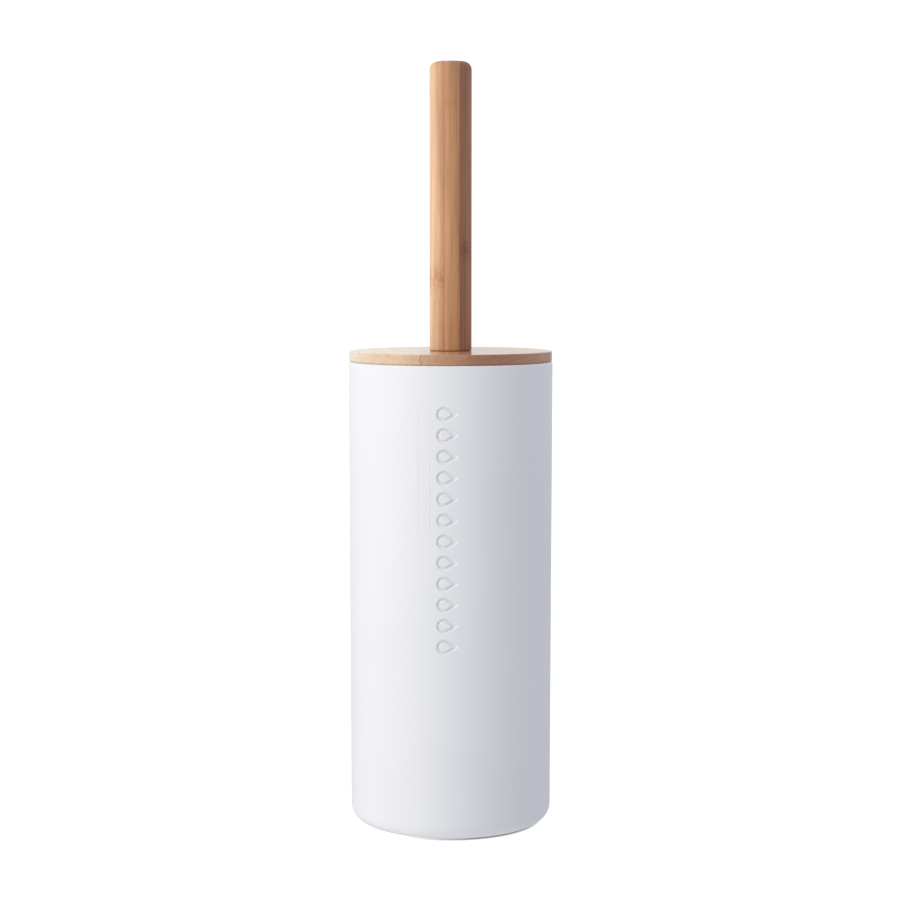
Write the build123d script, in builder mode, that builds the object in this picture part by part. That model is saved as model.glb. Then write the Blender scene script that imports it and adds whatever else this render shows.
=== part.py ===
"""Toilet brush holder: a tapered case with a drip cup, a bamboo lid and a bamboo-handled brush.

Millimetres, +Z up. The origin is on the floor at the centre of the holder, and the front,
which carries the debossed motif, faces -Y.
"""
from build123d import *
import math
import os

# ---- Driving dimensions ------------------------------------------------------------------

# Case
case_top_radius = 50.0
case_base_radius = 49.4
case_wall = 2.6
case_base_thickness = 3.2
case_base_z = 0.4            # the pads hold the moulding this far off the floor
case_rim_z = 228.0
case_base_round = 8.0
rim_outer_round = 0.8
rim_inner_round = 0.6
underside_recess_radius = 28.0
underside_recess_depth = 1.0

# Anti-slip pads
pad_radius = 4.5
pad_count = 4
pad_circle_radius = 34.7
pad_pocket_depth = 1.2
pad_side_gap = 0.1

# Drip cup, standing loose on the floor of the case
cup_base_radius = 44.4
cup_top_radius = 45.2
cup_wall = 1.6
cup_floor = 2.0
cup_top_z = 122.0
cup_base_round = 6.0
cup_flange_radius = 46.7
cup_flange_thickness = 1.6

# Lid and its ring
lid_radius = 49.7
lid_thickness = 5.2
lid_top_round = 0.5
lid_bottom_round = 0.7
seal_inner_radius = 43.6
seal_outer_radius = 46.4
seal_lip_radius = 47.0
seal_groove_depth = 1.6
seal_drop = 2.4              # how far the ring hangs below the lid
seal_lip_height = 0.8

# Handle
handle_radius = 10.25
handle_top_z = 373.3
handle_top_round = 3.7
handle_foot_round = 0.5
turning_gap = 0.1            # end play of the lid between the handle and the washer
insert_radius = 4.5
insert_length = 15.0
handle_bore_depth = 18.0
stud_radius = 2.95           # M6 studs, drawn without threads
stud_clearance = 0.05
stud_length = 13.0

# Stem
spigot_radius = 4.6
spigot_clearance = 0.1       # running fit of the lid on the spigot
washer_radius = 9.5
washer_thickness = 0.8
flange_radius = 8.5
flange_thickness = 2.0
tube_radius = 5.0
tube_wall = 0.5
plug_length = 14.0
tube_socket_depth = 20.0

# Brush head
core_radius = 12.0
core_shoulder_z = 104.0
core_top_z = 112.0
core_neck_radius = 8.0
dome_centre_z = 46.0
head_insert_radius = 4.2
head_insert_length = 15.0
bristle_reach = 36.5         # from the axis to the tips of the side tufts
tuft_root_distance = 10.0    # how far from the axis the blind tuft holes end
tuft_root_radius = 1.3
tuft_tip_radius = 2.5
tuft_hole_radius = 1.45
row_count = 7
row_pitch = 8.0
first_row_z = 50.0
tufts_per_row = 16

# Crown rings on the dome of the head: degrees below horizontal, tufts, reach from the dome's centre
crown_rings = [(22.0, 16, 35.5), (45.0, 12, 34.0), (68.0, 6, 32.0)]
tip_reach = 31.0

# Debossed motif on the front of the case
motif_top_z = 209.0
motif_bottom_z = 91.0
motif_left_x = -6.9
motif_width = 10.3
motif_count = 12
motif_depth = 0.9
drop_radius = 3.7
drop_tip_radius = 0.8
drop_stroke = 1.7             # the width of the groove along the drop's round end and flanks
drop_hollow_tip_radius = 0.3
rule_left_x = -15.2
rule_right_x = -9.4
rule_width = 0.5
rule_top_z = 208.5
rule_bottom_z = 147.0
rule_depth = 0.15
dash_length = 1.4
dash_width = 0.5
dash_pitch = 2.5

# ---- Derived levels ------------------------------------------------------------------------

case_floor_z = case_base_z + case_base_thickness
case_height = case_rim_z - case_base_z
cup_height = cup_top_z - case_floor_z
lid_top_z = case_rim_z + lid_thickness
handle_foot_z = lid_top_z + turning_gap
washer_top_z = case_rim_z - turning_gap
flange_top_z = washer_top_z - washer_thickness
tube_top_z = flange_top_z - flange_thickness
tube_bottom_z = core_top_z - tube_socket_depth
tube_bore_radius = tube_radius - tube_wall
underside_z = case_base_z + underside_recess_depth


def case_radius_at(height):
    """Outer radius of the tapered case at a height above the floor."""
    along = (height - case_base_z) / case_height
    return case_base_radius + (case_top_radius - case_base_radius) * along


def write(part_builder, name):
    """Label a finished piece and save it as its own STEP file."""
    part_builder.part.label = name
    export_step(part_builder.part, f"parts/{name}.step")


os.makedirs("parts", exist_ok=True)

# ---- Motif tools: prisms cut down to a thin layer of the case's surface ---------------------


def surface_layer(depth):
    """A thin conical layer that reaches `depth` into the case's wall and stands proud of it."""
    proud = 2.0
    low, high = motif_bottom_z - 5, motif_top_z + 5
    with BuildPart() as layer:
        with BuildSketch(Plane.XZ):
            Polygon(
                (case_radius_at(low) - depth, low),
                (case_radius_at(low) + proud, low),
                (case_radius_at(high) + proud, high),
                (case_radius_at(high) - depth, high),
                align=None,
            )
        revolve(axis=Axis.Z)
    return layer.part


motif_plane = Plane.XZ.offset(case_base_radius - 5)
motif_reach = 8.0
drop_pitch = (motif_top_z - motif_bottom_z - 2 * drop_radius) / (motif_count - 1)
drop_centre_x = motif_left_x + drop_radius
drop_tip_x = motif_width - drop_radius - drop_tip_radius
drop_hollow_radius = drop_radius - drop_stroke
# The hollow narrows at the same rate as the drop round it, so that their flanks are parallel
drop_taper = (drop_radius - drop_tip_radius) / drop_tip_x
drop_hollow_length = (drop_hollow_radius - drop_hollow_tip_radius) / drop_taper
motif_middle_z = (motif_top_z + motif_bottom_z) / 2

with BuildSketch() as drop_outline:
    with BuildSketch(mode=Mode.PRIVATE) as outer_drop:
        Circle(drop_radius)
        with Locations((drop_tip_x, 0)):
            Circle(drop_tip_radius)
        make_hull()
    with BuildSketch(mode=Mode.PRIVATE) as inner_drop:
        Circle(drop_hollow_radius)
        with Locations((drop_hollow_length, 0)):
            Circle(drop_hollow_tip_radius)
        make_hull()
    add(outer_drop.sketch)
    add(inner_drop.sketch, mode=Mode.SUBTRACT)

with BuildPart() as drop_column:
    with BuildSketch(motif_plane):
        with Locations((drop_centre_x, motif_middle_z)):
            with GridLocations(0, drop_pitch, 1, motif_count):
                add(drop_outline.sketch)
    extrude(amount=motif_reach)
    add(surface_layer(motif_depth), mode=Mode.INTERSECT)

rule_length = rule_top_z - rule_bottom_z
rule_middle = ((rule_left_x + rule_right_x) / 2, (rule_top_z + rule_bottom_z) / 2)
dash_count = int((rule_length - dash_pitch) // dash_pitch) + 1

with BuildPart() as rule_band:
    with BuildSketch(motif_plane):
        with Locations(rule_middle):
            with GridLocations(rule_right_x - rule_left_x, 0, 2, 1):
                Rectangle(rule_width, rule_length)
            with GridLocations(0, dash_pitch, 1, dash_count):
                Rectangle(dash_length, dash_width)
    extrude(amount=motif_reach)
    add(surface_layer(rule_depth), mode=Mode.INTERSECT)

# ---- Holder ----------------------------------------------------------------------------------

with BuildPart() as outer_case:
    with BuildSketch(Plane.XZ):
        with BuildLine():
            Polyline(
                (underside_recess_radius, case_base_z),
                (case_base_radius, case_base_z),
                (case_top_radius, case_rim_z),
                (case_top_radius - case_wall, case_rim_z),
                (case_base_radius - case_wall, case_floor_z),
                (0, case_floor_z),
                (0, underside_z),
                (underside_recess_radius, underside_z),
                close=True,
            )
        make_face()
    revolve(axis=Axis.Z)
    rings = outer_case.edges().filter_by(GeomType.CIRCLE)
    bottom_edge = rings.filter_by_position(Axis.Z, case_base_z, case_base_z).sort_by(SortBy.RADIUS)[-1]
    inner_corner = rings.filter_by_position(Axis.Z, case_floor_z, case_floor_z).sort_by(SortBy.RADIUS)[-1]
    rim_edges = rings.filter_by_position(Axis.Z, case_rim_z, case_rim_z).sort_by(SortBy.RADIUS)
    fillet(bottom_edge, case_base_round)
    fillet(inner_corner, case_base_round - case_wall)
    fillet(rim_edges[-1], rim_outer_round)
    fillet(rim_edges[0], rim_inner_round)
    with BuildSketch(Plane.XY.offset(case_base_z)):
        with PolarLocations(pad_circle_radius, pad_count, start_angle=45):
            Circle(pad_radius + pad_side_gap)
    extrude(amount=pad_pocket_depth, mode=Mode.SUBTRACT)
    add(drop_column.part, mode=Mode.SUBTRACT)
    add(rule_band.part, mode=Mode.SUBTRACT)
write(outer_case, "outer_case")

with BuildPart() as foot_pads:
    with BuildSketch(Plane.XY):
        with PolarLocations(pad_circle_radius, pad_count, start_angle=45):
            Circle(pad_radius)
    extrude(amount=case_base_z + pad_pocket_depth)
    fillet(foot_pads.edges().group_by(Axis.Z)[0], 0.25)
write(foot_pads, "foot_pads")

with BuildPart() as drip_cup:
    with BuildSketch(Plane.XZ):
        with BuildLine():
            Polyline(
                (0, case_floor_z),
                (cup_base_radius, case_floor_z),
                (cup_top_radius, cup_top_z - cup_flange_thickness),
                (cup_flange_radius, cup_top_z - cup_flange_thickness),
                (cup_flange_radius, cup_top_z),
                (cup_top_radius - cup_wall, cup_top_z),
                (cup_base_radius - cup_wall, case_floor_z + cup_floor),
                (0, case_floor_z + cup_floor),
                close=True,
            )
        make_face()
    revolve(axis=Axis.Z)
    rings = drip_cup.edges().filter_by(GeomType.CIRCLE)
    cup_floor_z = case_floor_z + cup_floor
    outer_corner = rings.filter_by_position(Axis.Z, case_floor_z, case_floor_z)
    inner_corner = rings.filter_by_position(Axis.Z, cup_floor_z, cup_floor_z)
    cup_rim = rings.filter_by_position(Axis.Z, cup_top_z, cup_top_z)
    fillet(outer_corner, cup_base_round)
    fillet(inner_corner, cup_base_round - cup_wall)
    fillet(cup_rim, 0.5)
write(drip_cup, "drip_cup")

# ---- Lid -------------------------------------------------------------------------------------

with BuildPart() as lid_disc:
    with BuildSketch(Plane.XY.offset(case_rim_z)):
        Circle(lid_radius)
        Circle(spigot_radius + spigot_clearance, mode=Mode.SUBTRACT)
    extrude(amount=lid_thickness)
    outer_rings = lid_disc.edges().filter_by(GeomType.CIRCLE).group_by(SortBy.RADIUS)[-1].sort_by(Axis.Z)
    fillet(outer_rings[-1], lid_top_round)
    fillet(outer_rings[0], lid_bottom_round)
    with BuildSketch(Plane.XY.offset(case_rim_z)):
        Circle(seal_outer_radius)
        Circle(seal_inner_radius, mode=Mode.SUBTRACT)
    extrude(amount=seal_groove_depth, mode=Mode.SUBTRACT)
write(lid_disc, "lid_disc")

with BuildPart() as lid_seal:
    seal_bottom_z = case_rim_z - seal_drop
    seal_height = seal_drop + seal_groove_depth
    with BuildSketch(Plane.XY.offset(seal_bottom_z)):
        Circle(seal_outer_radius)
        Circle(seal_inner_radius, mode=Mode.SUBTRACT)
    extrude(amount=seal_height)
    with BuildSketch(Plane.XY.offset(seal_bottom_z + seal_lip_height)):
        Circle(seal_lip_radius)
        Circle(seal_inner_radius, mode=Mode.SUBTRACT)
    extrude(amount=seal_lip_height)
    fillet(lid_seal.edges().filter_by(GeomType.CIRCLE).group_by(SortBy.RADIUS)[-1], 0.3)
write(lid_seal, "lid_seal")

# ---- Handle and stem ---------------------------------------------------------------------------

with BuildPart() as handle:
    with BuildSketch(Plane.XY.offset(handle_foot_z)):
        Circle(handle_radius)
    extrude(amount=handle_top_z - handle_foot_z)
    end_edges = handle.edges().filter_by(GeomType.CIRCLE).sort_by(Axis.Z)
    fillet(end_edges[-1], handle_top_round)
    fillet(end_edges[0], handle_foot_round)
    with BuildSketch(Plane.XY.offset(handle_foot_z)):
        Circle(insert_radius)
    extrude(amount=handle_bore_depth, mode=Mode.SUBTRACT)
write(handle, "handle")

with BuildPart() as handle_insert:
    with BuildSketch(Plane.XY.offset(handle_foot_z)):
        Circle(insert_radius)
        Circle(stud_radius + stud_clearance, mode=Mode.SUBTRACT)
    extrude(amount=insert_length)
write(handle_insert, "handle_insert")

with BuildPart() as stem_top_plug:
    with BuildSketch(Plane.XY.offset(tube_top_z)):
        Circle(flange_radius)
    extrude(amount=flange_thickness)
    fillet(stem_top_plug.edges().filter_by(GeomType.CIRCLE), 0.4)
    with BuildSketch(Plane.XY.offset(flange_top_z)):
        Circle(spigot_radius)
    extrude(amount=handle_foot_z - flange_top_z)
    with BuildSketch(Plane.XY.offset(handle_foot_z)):
        Circle(stud_radius)
    extrude(amount=stud_length)
    chamfer(stem_top_plug.edges().sort_by(Axis.Z)[-1], 0.6)
    with BuildSketch(Plane.XY.offset(tube_top_z)):
        Circle(tube_bore_radius)
    extrude(amount=-plug_length)
    chamfer(stem_top_plug.edges().sort_by(Axis.Z)[0], 0.5)
write(stem_top_plug, "stem_top_plug")

with BuildPart() as lid_washer:
    with BuildSketch(Plane.XY.offset(flange_top_z)):
        Circle(washer_radius)
        Circle(spigot_radius + spigot_clearance, mode=Mode.SUBTRACT)
    extrude(amount=washer_thickness)
write(lid_washer, "lid_washer")

with BuildPart() as stem_tube:
    with BuildSketch(Plane.XY.offset(tube_bottom_z)):
        Circle(tube_radius)
        Circle(tube_bore_radius, mode=Mode.SUBTRACT)
    extrude(amount=tube_top_z - tube_bottom_z)
write(stem_tube, "stem_tube")

with BuildPart() as stem_end_plug:
    with BuildSketch(Plane.XY.offset(tube_bottom_z)):
        Circle(tube_bore_radius)
    extrude(amount=plug_length)
    chamfer(stem_end_plug.edges().sort_by(Axis.Z)[-1], 0.5)
    with BuildSketch(Plane.XY.offset(tube_bottom_z)):
        Circle(stud_radius)
    extrude(amount=-stud_length)
    chamfer(stem_end_plug.edges().sort_by(Axis.Z)[0], 0.6)
write(stem_end_plug, "stem_end_plug")

# ---- Brush head --------------------------------------------------------------------------------

# Each ring: name, dip in degrees, number of tufts, centre height, reach, turned by half a pitch or not
rings_of_tufts = []
for row in range(row_count):
    height = first_row_z + row * row_pitch
    half_pitch = 180 / tufts_per_row * (row % 2)
    rings_of_tufts.append((f"bristle_row_{row + 1}", 0.0, tufts_per_row, height, bristle_reach, half_pitch))
for ring, (dip, count, reach) in enumerate(crown_rings):
    half_pitch = 180 / count * ((ring + 1) % 2)
    rings_of_tufts.append((f"bristle_crown_{ring + 1}", dip, count, dome_centre_z, reach, half_pitch))
rings_of_tufts.append(("bristle_tip", 90.0, 1, dome_centre_z, tip_reach, 0.0))

with BuildPart() as head_core:
    with BuildSketch(Plane.XZ):
        with BuildLine():
            dome = CenterArc((0, dome_centre_z), core_radius, -90, 90)
            Polyline(
                dome @ 1,
                (core_radius, core_shoulder_z),
                (core_neck_radius, core_shoulder_z + core_radius - core_neck_radius),
                (core_neck_radius, core_top_z),
                (0, core_top_z),
                dome @ 0,
            )
        make_face()
    revolve(axis=Axis.Z)
    fillet(head_core.edges().filter_by(GeomType.CIRCLE).group_by(Axis.Z)[-1], 1.0)
    with BuildSketch(Plane.XY.offset(tube_bottom_z)):
        Circle(tube_radius)
    extrude(amount=tube_socket_depth, mode=Mode.SUBTRACT)
    with BuildSketch(Plane.XY.offset(tube_bottom_z)):
        Circle(head_insert_radius)
    extrude(amount=-head_insert_length, mode=Mode.SUBTRACT)
    for name, dip, count, height, reach, start in rings_of_tufts:
        sink = math.radians(dip)
        hole_z = height - tuft_root_distance * math.sin(sink)
        with Locations((0, 0, hole_z)):
            with PolarLocations(tuft_root_distance * math.cos(sink), count, start_angle=start):
                Cylinder(
                    tuft_hole_radius,
                    core_radius,
                    rotation=(0, 90 + dip, 0),
                    align=(Align.CENTER, Align.CENTER, Align.MIN),
                    mode=Mode.SUBTRACT,
                )
write(head_core, "head_core")

with BuildPart() as head_insert:
    with BuildSketch(Plane.XY.offset(tube_bottom_z)):
        Circle(head_insert_radius)
        Circle(stud_radius + stud_clearance, mode=Mode.SUBTRACT)
    extrude(amount=-head_insert_length)
write(head_insert, "head_insert")

for name, dip, count, height, reach, start in rings_of_tufts:
    with BuildPart() as bristle_ring:
        sink = math.radians(dip)
        root_z = height - tuft_root_distance * math.sin(sink)
        with Locations((0, 0, root_z)):
            with PolarLocations(tuft_root_distance * math.cos(sink), count, start_angle=start):
                Cone(
                    tuft_root_radius,
                    tuft_tip_radius,
                    reach - tuft_root_distance,
                    rotation=(0, 90 + dip, 0),
                    align=(Align.CENTER, Align.CENTER, Align.MIN),
                )
    write(bristle_ring, name)
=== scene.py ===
"""Toilet brush holder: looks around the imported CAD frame. Metres, +Z up, front faces -Y."""

import math

import bmesh
import bpy
import numpy as np
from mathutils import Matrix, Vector, geometry, kdtree


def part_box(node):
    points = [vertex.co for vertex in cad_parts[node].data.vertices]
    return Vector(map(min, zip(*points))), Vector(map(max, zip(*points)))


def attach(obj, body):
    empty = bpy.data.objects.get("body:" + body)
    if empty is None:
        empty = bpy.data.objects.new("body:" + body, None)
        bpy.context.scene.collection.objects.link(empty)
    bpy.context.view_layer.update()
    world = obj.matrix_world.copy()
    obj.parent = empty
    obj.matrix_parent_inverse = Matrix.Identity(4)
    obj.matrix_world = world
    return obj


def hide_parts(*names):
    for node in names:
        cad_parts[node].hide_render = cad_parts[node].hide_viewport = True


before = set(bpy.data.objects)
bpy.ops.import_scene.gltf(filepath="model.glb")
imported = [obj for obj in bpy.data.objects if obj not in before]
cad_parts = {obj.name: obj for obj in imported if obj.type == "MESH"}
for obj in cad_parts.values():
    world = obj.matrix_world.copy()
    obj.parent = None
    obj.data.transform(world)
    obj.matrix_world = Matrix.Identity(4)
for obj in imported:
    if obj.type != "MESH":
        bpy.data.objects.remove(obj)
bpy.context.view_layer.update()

MM = 0.001
ON_AXIS = 1e-6 * MM
rng = np.random.default_rng(20)

# ---- Places read from the frame ------------------------------------------------------------

case_low, case_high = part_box("outer_case")
lid_low, lid_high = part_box("lid_disc")
_, seal_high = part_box("lid_seal")
handle_low, handle_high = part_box("handle")

# ---- Case sizes ----------------------------------------------------------------------------

CASE_TAPER = 0.6 * MM
CASE_WALL = 2.6 * MM
CASE_FLOOR = 3.2 * MM
CASE_BASE_ROUND = 8.0 * MM
CASE_RIM_OUTER_ROUND = 0.8 * MM
CASE_RIM_INNER_ROUND = 0.6 * MM
UNDERSIDE_RECESS_RADIUS = 28.0 * MM
UNDERSIDE_RECESS_DEPTH = 1.0 * MM
UNDERSIDE_RECESS_ROUND = 0.4 * MM
CASE_TOP_RADIUS = 50.0 * MM

# The debossed motif: a column of drop outlines, and two fine rules with short dashes between them
MOTIF_TOP = 209.0 * MM
MOTIF_BOTTOM = 91.0 * MM
MOTIF_LEFT = -6.9 * MM
MOTIF_WIDTH = 10.3 * MM
MOTIF_COUNT = 12
MOTIF_DEPTH = 0.9 * MM
MOTIF_EDGE = 0.5 * MM
DROP_RADIUS = 3.7 * MM
DROP_TIP_RADIUS = 0.8 * MM
DROP_STROKE = 1.9 * MM
HOLLOW_TIP_RADIUS = 0.3 * MM
RULE_LEFT = -15.2 * MM
RULE_RIGHT = -9.4 * MM
RULE_WIDTH = 0.5 * MM
RULE_TOP = 208.5 * MM
RULE_BOTTOM = 147.0 * MM
RULE_DEPTH = 0.15 * MM
RULE_EDGE = 0.12 * MM
DASH_LENGTH = 1.4 * MM
DASH_WIDTH = 0.5 * MM
DASH_PITCH = 2.5 * MM
# Steps round the wide end and along a flank of each outline. The narrow end has a third
DROP_STEPS = (54, 16)
HOLLOW_STEPS = (42, 12)
RULE_STEPS = (6, 80)
DASH_STEPS = (9, 4)

# The part of the case's front that is meshed round the motif, and the mesh beside it
WINDOW_LEFT = -17.0 * MM
WINDOW_RIGHT = 5.2 * MM
WINDOW_MARGIN = 2.0 * MM
WINDOW_COLUMNS = 17
WINDOW_BANDS = 10
PLAIN_COLUMNS = 220
FILL_ROWS = 84
FILL_CLEARANCE = 0.5 * MM
# A groove's wall: shares of its width, and the share of the full depth that is reached there
WALL_STEPS = ((-0.35, 0.0), (0.0, 0.0), (0.25, 0.16), (0.5, 0.5), (0.75, 0.84), (1.0, 1.0))


# ---- Mesh helpers --------------------------------------------------------------------------


def arc(centre_r, centre_z, radius, start, end, steps):
    """Points (r, z) along an arc, angles in degrees from the +r axis."""
    angles = np.radians(np.linspace(start, end, steps + 1))
    return [(centre_r + radius * math.cos(a), centre_z + radius * math.sin(a)) for a in angles]


def line(start, end, steps):
    """Points (r, z) evenly spaced from start to end, with the start left out."""
    way = np.array(end) - start
    return [tuple(np.array(start) + way * k / steps) for k in range(1, steps + 1)]


def make_object(name, vertices, faces, smooth_angle=40.0):
    """A mesh object with shared vertices, outward normals and smooth shading up to an angle."""
    mesh = bpy.data.meshes.new(name)
    mesh.from_pydata([tuple(v) for v in vertices], [], faces)
    mesh.validate()
    mesh.update()
    work = bmesh.new()
    work.from_mesh(mesh)
    bmesh.ops.recalc_face_normals(work, faces=work.faces)
    work.to_mesh(mesh)
    work.free()
    piece = bpy.data.objects.new(name, mesh)
    bpy.context.scene.collection.objects.link(piece)
    mesh.polygons.foreach_set("use_smooth", [True] * len(mesh.polygons))
    mesh.set_sharp_from_angle(angle=math.radians(smooth_angle))
    return piece


def ring_faces(lower, upper, columns):
    """Faces between two rings of vertex numbers. Corners that fall together are merged."""
    faces = []
    for i in columns:
        j = (i + 1) % len(lower)
        corners = (lower[i], lower[j], upper[j], upper[i])
        face = [c for k, c in enumerate(corners) if c != corners[k - 1]]
        if len(set(face)) >= 3:
            faces.append(face)
    return faces


def lathe(name, profile, segments, closed=False):
    """Turns a profile of (r, z) points about Z. A point with r = 0 becomes one vertex."""
    vertices, rings = [], []
    angles = np.linspace(0, 2 * math.pi, segments, endpoint=False)
    for r, z in profile:
        if r < ON_AXIS:
            rings.append([len(vertices)] * segments)
            vertices.append((0, 0, z))
        else:
            rings.append(list(range(len(vertices), len(vertices) + segments)))
            vertices.extend((r * math.cos(a), r * math.sin(a), z) for a in angles)
    faces = []
    pairs = list(zip(rings, rings[1:]))
    if closed:
        pairs.append((rings[-1], rings[0]))
    for lower, upper in pairs:
        faces += ring_faces(lower, upper, range(segments))
    return make_object(name, vertices, faces)


def dress(piece, material, body, slot, *nodes):
    """Gives a new piece its material and body, and hides the CAD nodes that it stands for. slot is
    not used.
    """
    piece.data.materials.clear()
    piece.data.materials.append(material)
    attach(piece, body)
    if nodes:
        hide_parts(*nodes)


def repaint(material, *nodes):
    """Gives CAD nodes a finished material and leaves their meshes alone."""
    for node in nodes:
        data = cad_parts[node].data
        data.materials.clear()
        data.materials.append(material)


# ---- Shader helpers ------------------------------------------------------------------------

# The values between which most of a noise lies, and a narrower span for a firmer contrast
NOISE_RANGE = (0.3, 0.7)
NOISE_MIDDLE = (0.35, 0.65)


class Paint:
    """A node material with a Principled shader, built from short calls."""

    def __init__(self, name, **constants):
        self.material = bpy.data.materials.new(name)
        self.material.use_nodes = True
        self.tree = self.material.node_tree
        self.shader = self.tree.nodes["Principled BSDF"]
        for socket, value in constants.items():
            self.shader.inputs[socket.replace("_", " ")].default_value = value

    def node(self, kind, inputs=None, **settings):
        """A new node, its settings, and its inputs as sockets or constants."""
        made = self.tree.nodes.new("ShaderNode" + kind)
        for setting, value in settings.items():
            setattr(made, setting, value)
        for key, value in (inputs or {}).items():
            if isinstance(value, bpy.types.NodeSocket):
                self.tree.links.new(value, made.inputs[key])
            else:
                made.inputs[key].default_value = value
        return made

    def link(self, socket, shader_input):
        self.tree.links.new(socket, self.shader.inputs[shader_input])

    def math(self, operation, first, second=0.0, third=0.0):
        made = self.node("Math", {0: first, 1: second, 2: third}, operation=operation)
        return made.outputs[0]

    def scaled(self, vector, factor):
        """A vector, or a colour, times a number."""
        made = self.node("VectorMath", {0: vector, "Scale": factor}, operation="SCALE")
        return made.outputs[0]

    def stretched(self, vector, x, y, z):
        """A vector, or a colour, with each part times its own factor."""
        made = self.node("VectorMath", {0: vector, 1: (x, y, z)}, operation="MULTIPLY")
        return made.outputs[0]

    def millimetres(self):
        """Object coordinates in millimetres."""
        return self.scaled(self.node("TexCoord").outputs["Object"], 1 / MM)

    def split(self, vector):
        """The x, y and z of a vector."""
        return tuple(self.node("SeparateXYZ", {0: vector}).outputs)

    def vector(self, x, y, z):
        return self.node("CombineXYZ", {0: x, 1: y, 2: z}).outputs[0]

    def radius(self, x, y):
        """Distance from the Z axis."""
        return self.math("SQRT", self.math("MULTIPLY_ADD", x, x, self.math("MULTIPLY", y, y)))

    def noise(self, coords, scale, detail=3.0, roughness=0.55):
        inputs = {"Vector": coords, "Scale": scale, "Detail": detail, "Roughness": roughness}
        return self.node("TexNoise", inputs).outputs[0]

    def fit(self, value, low, high, new_low, new_high):
        """Maps a range onto another, clamped."""
        inputs = {0: value, 1: low, 2: high, 3: new_low, 4: new_high}
        return self.node("MapRange", inputs).outputs[0]

    def mask(self, value, low, high):
        """0 up to low, 1 from high on."""
        return self.fit(value, low, high, 0.0, 1.0)

    def vary(self, noise, low, high):
        """A noise spread between two values."""
        return self.fit(noise, *NOISE_RANGE, low, high)

    def ramp(self, value, stops):
        """A colour ramp from (position, colour) stops."""
        made = self.node("ValToRGB", {0: value})
        elements = made.color_ramp.elements
        elements.remove(elements[1])
        elements[0].position, elements[0].color = stops[0][0], (*stops[0][1], 1)
        for position, colour in stops[1:]:
            elements.new(position).color = (*colour, 1)
        return made.outputs[0]

    def blend(self, factor, first, second):
        """Mixes two colours."""
        made = self.node("Mix", data_type="RGBA")
        for index, value in ((0, factor), (6, first), (7, second)):
            if isinstance(value, bpy.types.NodeSocket):
                self.tree.links.new(value, made.inputs[index])
            elif index == 0:
                made.inputs[index].default_value = value
            else:
                made.inputs[index].default_value = (*value, 1)
        return made.outputs[2]

    def bump(self, height, distance):
        inputs = {"Height": height, "Distance": distance, "Strength": 1.0}
        self.link(self.node("Bump", inputs).outputs[0], "Normal")


# ---- Materials -----------------------------------------------------------------------------
# Inside the materials every length is in millimetres, apart from the depth of a bump.

MOULD_GRAIN = 0.35
CASE_WHITE = (0.916, 0.916, 0.926)
CASE_WHITE_DARKER = (0.902, 0.902, 0.914)
# Grey of the painted shade on the floor of the motif's recess
GROOVE_SHADE_WHITE = (0.84, 0.845, 0.865)
SCUFFED_WHITE = (0.80, 0.80, 0.81)
SCUFF_HEIGHT = 7.0
BUNDLE_BROWN = (0.36, 0.17, 0.085)
KNOT_SHADE = (0.74, 0.57, 0.54)
GLUE_BROWN = (0.27, 0.13, 0.07)
# Colour of the painted shade along a lower edge, where a piece meets the part below
LOWER_EDGE_SHADE_BROWN = (0.20, 0.10, 0.065)


def moulded_plastic(name, light, dark, roughness):
    """Satin moulded plastic: faint mottling, a fine spark-eroded grain and uneven sheen."""
    paint = Paint(name, IOR=1.49)
    coords = paint.millimetres()
    mottle = paint.mask(paint.noise(coords, 0.035, 2.0), *NOISE_MIDDLE)
    paint.link(paint.blend(mottle, light, dark), "Base Color")
    sheen = paint.noise(coords, 0.12, 4.0)
    paint.link(paint.vary(sheen, roughness - 0.04, roughness + 0.05), "Roughness")
    grain = paint.noise(coords, 1 / MOULD_GRAIN, 2.0)
    paint.bump(grain, 0.012 * MM)
    return paint.material


def case_plastic():
    """White satin plastic of the case, duller in the debossed motif and greyed there with painted
    shade, and scuffed along the foot.
    """
    paint = Paint("case_white_plastic", IOR=1.49)
    coords = paint.millimetres()
    x, y, z = paint.split(coords)
    mottle = paint.mask(paint.noise(coords, 0.02, 2.0), *NOISE_MIDDLE)
    colour = paint.blend(mottle, CASE_WHITE, CASE_WHITE_DARKER)

    # The floor of the motif: where the case is as deep as the motif below its tapered wall
    base, rim = case_low.z / MM, case_high.z / MM
    outer = paint.fit(z, base, rim, (CASE_TOP_RADIUS - CASE_TAPER) / MM, CASE_TOP_RADIUS / MM)
    sunk = paint.math("SUBTRACT", outer, paint.radius(x, y))
    depth = MOTIF_DEPTH / MM
    deep = paint.mask(sunk, 0.7 * depth, 1.0 * depth)
    groove = paint.math("MULTIPLY", deep, paint.mask(sunk, 1.3 * depth, 1.2 * depth))
    low, high = MOTIF_BOTTOM / MM, MOTIF_TOP / MM
    above_low = paint.mask(z, low - 6.0, low - 3.0)
    below_high = paint.mask(z, high + 6.0, high + 3.0)
    groove = paint.math("MULTIPLY", groove, paint.math("MULTIPLY", above_low, below_high))
    # Painted shade: the motif's floor is greyed as if its recess lay in shade
    colour = paint.blend(groove, colour, GROOVE_SHADE_WHITE)

    foot = paint.mask(z, SCUFF_HEIGHT, 0.0)
    scuffs = paint.noise(paint.stretched(coords, 0.5, 0.5, 2.6), 1.0, 5.0, 0.65)
    worn = paint.math("MULTIPLY", foot, paint.fit(scuffs, 0.56, 0.70, 0.0, 0.35))
    paint.link(paint.blend(worn, colour, SCUFFED_WHITE), "Base Color")
    sheen = paint.noise(coords, 0.08, 4.0)
    gloss = paint.vary(sheen, 0.36, 0.44)
    dull = paint.math("MULTIPLY", paint.math("MAXIMUM", worn, groove), 0.3)
    paint.link(paint.math("ADD", gloss, dull), "Roughness")
    grain = paint.noise(coords, 2.6, 2.0)
    paint.bump(grain, 0.008 * MM)
    return paint.material


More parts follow.
